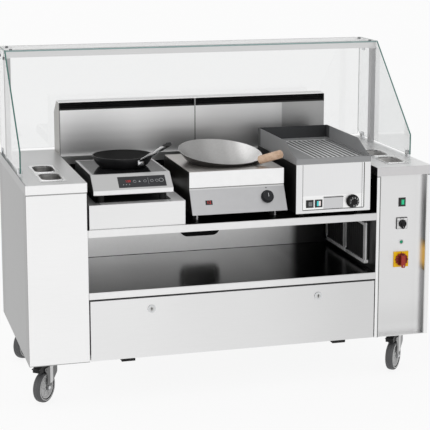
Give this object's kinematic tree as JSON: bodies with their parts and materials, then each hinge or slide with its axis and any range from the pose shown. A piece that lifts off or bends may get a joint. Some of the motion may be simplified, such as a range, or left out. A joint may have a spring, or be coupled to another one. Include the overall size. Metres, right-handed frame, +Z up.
{
  "type": "cooking station",
  "caption": "Mobile stainless front-cooking station with a sunken deck of table-top appliances, rear suction hood, glass screen, open compartment and control column on castors",
  "frame": {"origin": "on the floor under the middle of the whole object's box", "axes": "+X to the cook's right, +Y from the cook to the guests, +Z up"},
  "size_m": [1.68, 0.826, 1.356],
  "materials": {
    "casing_steel": "fine satin stainless sheet",
    "worktop_steel": "satin stainless worktop",
    "inner_steel": "satin stainless deck, shelf and tray",
    "panel_steel": "satin stainless front panels",
    "hood_steel": "satin stainless hood",
    "appliance_steel": "satin stainless appliance casings",
    "zinc": "bright zinc-plated castor steel",
    "screen_glass": "clear toughened glass",
    "hob_glass": "black glass ceramic",
    "frame_aluminium": "anodised screen frame",
    "clamp_chrome": "polished glass clamps",
    "filter_aluminium": "aluminium filter frames",
    "fan_steel": "grey painted fan",
    "black_plastic": "black plastic",
    "black_rubber": "black rubber",
    "castor_tyre": "grey castor tyre and pale hub",
    "green_plastic": "green lit plastic",
    "white_plastic": "white dial plate",
    "yellow_plastic": "yellow switch plate",
    "red_plastic": "red switch knob",
    "grey_plastic": "grey rocker",
    "pan_aluminium": "coated pan",
    "pan_steel": "steel handle with black tip",
    "wok_steel": "brushed steel wok",
    "handle_wood": "oiled wooden grip",
    "griddle_iron": "dark cast cooking plate"
  },
  "bodies": {
    "station": {"left_casing": "casing_steel", "right_casing": "casing_steel", "control_panel": "panel_steel", "worktop": "worktop_steel", "table_deck": "inner_steel", "shelf": "inner_steel", "cable_port_frame": "black_rubber", "base_tray": "inner_steel", "panel_pads": "black_plastic", "hood_left": "hood_steel", "hood_right": "hood_steel", "grease_filters": "filter_aluminium", "fan_housing": "fan_steel", "glass_frame": "frame_aluminium", "rear_glass": "screen_glass", "top_glass": "screen_glass", "side_glass_left": "screen_glass", "side_glass_right": "screen_glass", "glass_clamps": "clamp_chrome", "well_insert_left": "worktop_steel", "well_insert_right": "worktop_steel", "switch_frames": "black_plastic", "selector_plate": "white_plastic", "pilot_lamp": "green_plastic", "main_switch_plate": "yellow_plastic", "castor_plates": "zinc", "riser": "appliance_steel", "hob_casing": "appliance_steel", "hob_glass": "hob_glass", "cooker_casing": "appliance_steel", "griddle_casing": "appliance_steel", "griddle_plate": "griddle_iron", "appliance_feet": "black_rubber"},
    "service_panel": {"service_panel": "panel_steel"},
    "panel_lock_left": {"panel_lock_left": "zinc"},
    "panel_lock_right": {"panel_lock_right": "zinc"},
    "fan_impeller": {"fan_impeller": "fan_steel"},
    "fan_rocker": {"fan_rocker": "green_plastic"},
    "selector_knob": {"selector_knob": "black_plastic"},
    "main_switch_knob": {"main_switch_knob": "red_plastic"},
    "griddle_rocker": {"griddle_rocker": "grey_plastic"},
    "griddle_knob": {"griddle_knob": "black_plastic"},
    "cooker_knob": {"cooker_knob": "black_plastic"},
    "griddle_drawer": {"griddle_drawer": "appliance_steel"},
    "frying_pan": {"frying_pan": "pan_aluminium", "pan_handle": "pan_steel"},
    "wok": {"wok": "wok_steel", "wok_handle": "handle_wood"},
    "filter_cassette_front": {"filter_cassette_front": "filter_aluminium"},
    "filter_cassette_rear": {"filter_cassette_rear": "filter_aluminium"},
    "castor_fork_front_left": {"castor_fork_front_left": "zinc"},
    "castor_wheel_front_left": {"castor_wheel_front_left": "castor_tyre"},
    "brake_pedal_front_left": {"brake_pedal_front_left": "black_plastic"},
    "castor_fork_front_right": {"castor_fork_front_right": "zinc"},
    "castor_wheel_front_right": {"castor_wheel_front_right": "castor_tyre"},
    "brake_pedal_front_right": {"brake_pedal_front_right": "black_plastic"},
    "castor_fork_rear_left": {"castor_fork_rear_left": "zinc"},
    "castor_wheel_rear_left": {"castor_wheel_rear_left": "castor_tyre"},
    "castor_fork_rear_right": {"castor_fork_rear_right": "zinc"},
    "castor_wheel_rear_right": {"castor_wheel_rear_right": "castor_tyre"}
  },
  "joints": [
    {"name": "panel_tilt", "type": "hinge", "parent": "station", "child": "service_panel", "pos_m": [0, -0.397, 0.1773], "axis": [1, 0, 0], "range_deg": [0, 75]},
    {"name": "lock_turn_left", "type": "hinge", "parent": "service_panel", "child": "panel_lock_left", "pos_m": [-0.35, -0.397, 0.3745], "axis": [0, 1, 0], "range_deg": [0, 90]},
    {"name": "lock_turn_right", "type": "hinge", "parent": "service_panel", "child": "panel_lock_right", "pos_m": [0.35, -0.397, 0.3745], "axis": [0, 1, 0], "range_deg": [0, 90]},
    {"name": "fan_spin", "type": "hinge", "parent": "station", "child": "fan_impeller", "pos_m": [0, 0.033, 0.305], "axis": [1, 0, 0], "continuous": true},
    {"name": "fan_switch", "type": "hinge", "parent": "station", "child": "fan_rocker", "pos_m": [0.726, -0.359, 0.739], "axis": [1, 0, 0], "range_deg": [-8, 8]},
    {"name": "speed_selector", "type": "hinge", "parent": "station", "child": "selector_knob", "pos_m": [0.726, -0.362, 0.65], "axis": [0, -1, 0], "range_deg": [-60, 60]},
    {"name": "main_switch", "type": "hinge", "parent": "station", "child": "main_switch_knob", "pos_m": [0.726, -0.362, 0.496], "axis": [0, -1, 0], "range_deg": [0, 90]},
    {"name": "griddle_switch", "type": "hinge", "parent": "station", "child": "griddle_rocker", "pos_m": [0.311, -0.386, 0.7595], "axis": [1, 0, 0], "range_deg": [-8, 8]},
    {"name": "griddle_thermostat", "type": "hinge", "parent": "station", "child": "griddle_knob", "pos_m": [0.4955, -0.389, 0.762], "axis": [0, -1, 0], "range_deg": [-270, 0]},
    {"name": "cooker_power", "type": "hinge", "parent": "station", "child": "cooker_knob", "pos_m": [0.138, -0.36559, 0.795], "axis": [0, -0.8782, 0.4782], "range_deg": [-270, 0]},
    {"name": "drawer_slide", "type": "slide", "parent": "station", "child": "griddle_drawer", "axis": [0, -1, 0], "range_m": [0, 0.25]},
    {"name": "pan_lift", "type": "slide", "parent": "station", "child": "frying_pan", "axis": [0, 0, 1], "range_m": [0, 0.3]},
    {"name": "wok_lift", "type": "slide", "parent": "station", "child": "wok", "axis": [0, 0, 1], "range_m": [0, 0.3]},
    {"name": "cassette_pull_front", "type": "slide", "parent": "station", "child": "filter_cassette_front", "axis": [-1, 0, 0], "range_m": [0, 0.12]},
    {"name": "cassette_pull_rear", "type": "slide", "parent": "station", "child": "filter_cassette_rear", "axis": [-1, 0, 0], "range_m": [0, 0.12]},
    {"name": "castor_swivel_front_left", "type": "hinge", "parent": "station", "child": "castor_fork_front_left", "pos_m": [-0.748, -0.283, 0.15], "axis": [0, 0, 1], "continuous": true},
    {"name": "wheel_roll_front_left", "type": "hinge", "parent": "castor_fork_front_left", "child": "castor_wheel_front_left", "pos_m": [-0.77293, -0.31168, 0.0625], "axis": [0.7547, -0.6561, 0], "continuous": true},
    {"name": "brake_press_front_left", "type": "hinge", "parent": "castor_fork_front_left", "child": "brake_pedal_front_left", "pos_m": [-0.7808, -0.32073, 0.137], "axis": [0.7547, -0.6561, 0], "range_deg": [0, 10]},
    {"name": "castor_swivel_front_right", "type": "hinge", "parent": "station", "child": "castor_fork_front_right", "pos_m": [0.748, -0.283, 0.15], "axis": [0, 0, 1], "continuous": true},
    {"name": "wheel_roll_front_right", "type": "hinge", "parent": "castor_fork_front_right", "child": "castor_wheel_front_right", "pos_m": [0.72307, -0.31168, 0.0625], "axis": [0.7547, -0.6561, 0], "continuous": true},
    {"name": "brake_press_front_right", "type": "hinge", "parent": "castor_fork_front_right", "child": "brake_pedal_front_right", "pos_m": [0.7152, -0.32073, 0.137], "axis": [0.7547, -0.6561, 0], "range_deg": [0, 10]},
    {"name": "castor_swivel_rear_left", "type": "hinge", "parent": "station", "child": "castor_fork_rear_left", "pos_m": [-0.748, 0.299, 0.15], "axis": [0, 0, 1], "continuous": true},
    {"name": "wheel_roll_rear_left", "type": "hinge", "parent": "castor_fork_rear_left", "child": "castor_wheel_rear_left", "pos_m": [-0.77293, 0.27032, 0.0625], "axis": [0.7547, -0.6561, 0], "continuous": true},
    {"name": "castor_swivel_rear_right", "type": "hinge", "parent": "station", "child": "castor_fork_rear_right", "pos_m": [0.748, 0.299, 0.15], "axis": [0, 0, 1], "continuous": true},
    {"name": "wheel_roll_rear_right", "type": "hinge", "parent": "castor_fork_rear_right", "child": "castor_wheel_rear_right", "pos_m": [0.72307, 0.27032, 0.0625], "axis": [0.7547, -0.6561, 0], "continuous": true}
  ]
}
